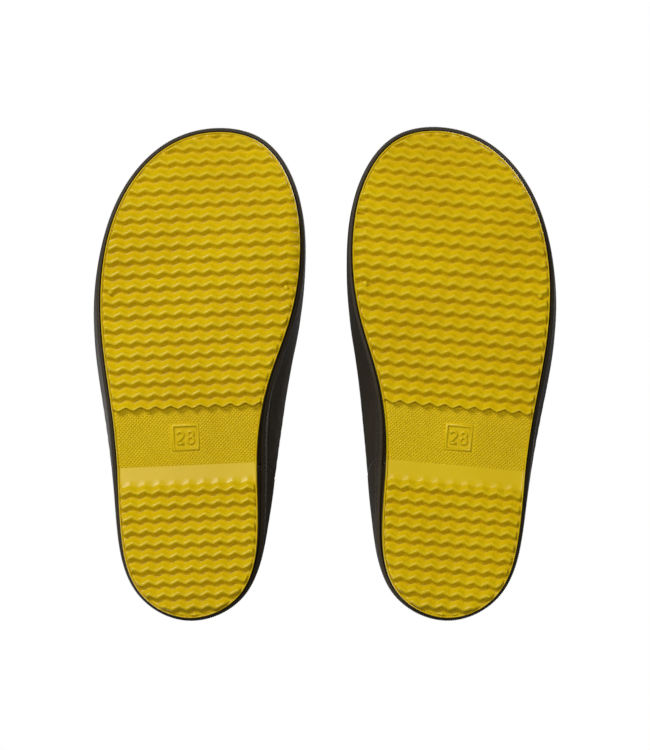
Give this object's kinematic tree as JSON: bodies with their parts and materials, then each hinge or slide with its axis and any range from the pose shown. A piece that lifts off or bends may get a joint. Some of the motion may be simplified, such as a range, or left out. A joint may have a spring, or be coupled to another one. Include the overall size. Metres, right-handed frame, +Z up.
{
  "type": "deck boots",
  "caption": "Pair of child's pull-on rubber deck boots with a ribbed non-slip sole, textured rand, textile lining and loose footbed.",
  "frame": {"origin": "middle of the pair's footprint, on the surface that the boots stand on", "axes": "+Z up, +Y towards the toes, +X to the wearer's right, so the right boot is at +X"},
  "size_m": [0.1904, 0.212, 0.205],
  "materials": {
    "sole_rubber": "satin",
    "upper_rubber": "satin",
    "rand_rubber": "matte",
    "knit_lining": "matte",
    "footbed": "matte",
    "board": "matte",
    "filler_foam": "matte",
    "webbing": "matte"
  },
  "bodies": {
    "right_boot": {"outsole_right": "sole_rubber", "heel_filler_right": "filler_foam", "insole_board_right": "board", "lining_right": "knit_lining", "vamp_right": "upper_rubber", "leg_right": "upper_rubber", "toe_rand_right": "rand_rubber", "heel_counter_right": "rand_rubber", "foxing_strip_right": "rand_rubber", "back_strip_right": "upper_rubber", "collar_band_right": "upper_rubber", "pull_loop_right": "webbing"},
    "right_footbed": {"insole_right": "footbed"},
    "left_boot": {"outsole_left": "sole_rubber", "heel_filler_left": "filler_foam", "insole_board_left": "board", "lining_left": "knit_lining", "vamp_left": "upper_rubber", "leg_left": "upper_rubber", "toe_rand_left": "rand_rubber", "heel_counter_left": "rand_rubber", "foxing_strip_left": "rand_rubber", "back_strip_left": "upper_rubber", "collar_band_left": "upper_rubber", "pull_loop_left": "webbing"},
    "left_footbed": {"insole_left": "footbed"}
  },
  "joints": [
    {"name": "boots_apart", "type": "slide", "parent": "right_boot", "child": "left_boot", "axis": [-1, 0, 0], "range_m": [0, 0.25]},
    {"name": "right_footbed_lift", "type": "hinge", "parent": "right_boot", "child": "right_footbed", "pos_m": [0.04434, 0.09987, 0.0192], "axis": [-0.9992, -0.0393, 0], "range_deg": [0, 4]},
    {"name": "left_footbed_lift", "type": "hinge", "parent": "left_boot", "child": "left_footbed", "pos_m": [-0.04751, 0.10022, 0.0192], "axis": [-1, -0.0061, 0], "range_deg": [0, 4]}
  ]
}
